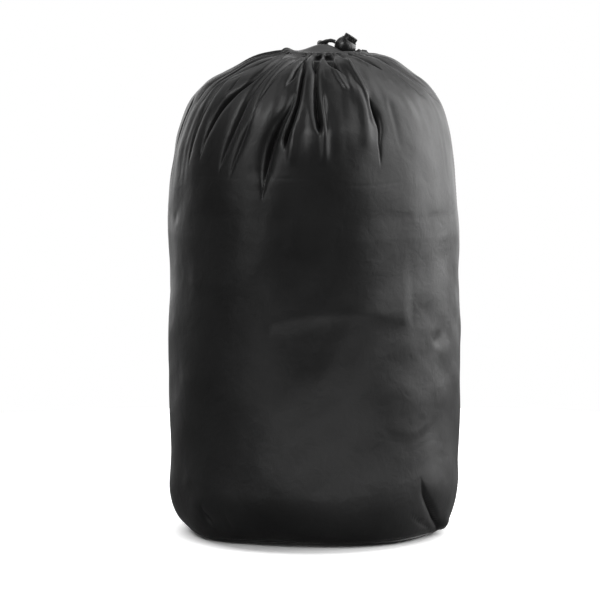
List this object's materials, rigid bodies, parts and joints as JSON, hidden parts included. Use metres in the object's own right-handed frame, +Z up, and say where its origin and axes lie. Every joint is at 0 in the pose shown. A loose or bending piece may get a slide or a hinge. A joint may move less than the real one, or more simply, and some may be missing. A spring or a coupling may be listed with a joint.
{
  "type": "stuff sack",
  "caption": "Upright round-bottomed cloth stuff sack with a gathered drawstring mouth, an inner storm flap and a spring-loaded ball cord lock.",
  "frame": {"origin": "centre of the circle that the sack stands on, at the floor", "axes": "+Z up through the sack, front towards -Y, the mouth and the cord lock lean towards +X"},
  "size_m": [0.27, 0.2814, 0.4635],
  "materials": {
    "sack_cloth": "smooth closely woven coated nylon with a soft sheen",
    "seam_tape": "matt woven binding",
    "thread": "polyester sewing thread",
    "cord_braid": "braided nylon",
    "lock_plastic": "smooth moulded acetal",
    "spring_wire": "drawn spring wire"
  },
  "bodies": {
    "sack": {"base_panel": "sack_cloth", "side_panel": "sack_cloth", "shoulder_panel": "sack_cloth", "gathered_neck": "sack_cloth", "side_seam_tape": "seam_tape", "base_seam_binding": "seam_tape", "base_stitching": "thread", "drawcord_channel": "sack_cloth", "channel_bartacks": "thread", "channel_stitching": "thread", "drawcord_loop": "cord_braid", "drawcord_lead_front": "cord_braid", "drawcord_lead_back": "cord_braid", "flap_hinge_tape": "seam_tape", "drawcord_tail_front": "cord_braid", "drawcord_tail_back": "cord_braid", "cord_knot": "cord_braid", "cord_ends": "cord_braid"},
    "flap": {"storm_flap": "sack_cloth", "flap_hem": "seam_tape"},
    "cord_lock": {"lock_barrel": "lock_plastic", "lock_spring": "spring_wire"},
    "push_button": {"lock_button": "lock_plastic"}
  },
  "joints": [
    {"name": "lock_slide", "type": "slide", "parent": "sack", "child": "cord_lock", "axis": [-0.8434, 0, 0.5373], "range_m": [0, 0.025], "deforming": ["drawcord_lead_front", "drawcord_lead_back", "drawcord_tail_front", "drawcord_tail_back"]},
    {"name": "button_press", "type": "slide", "parent": "cord_lock", "child": "push_button", "axis": [-0.5373, 0, -0.8434], "range_m": [0, 0.0022], "stiffness_N_per_m": 1500, "springref_m": -0.002, "deforming": ["lock_spring"]},
    {"name": "flap_hinge", "type": "hinge", "parent": "sack", "child": "flap", "pos_m": [0.01, 0.0482, 0.4376], "axis": [1, 0, 0], "range_deg": [0, 75]}
  ]
}
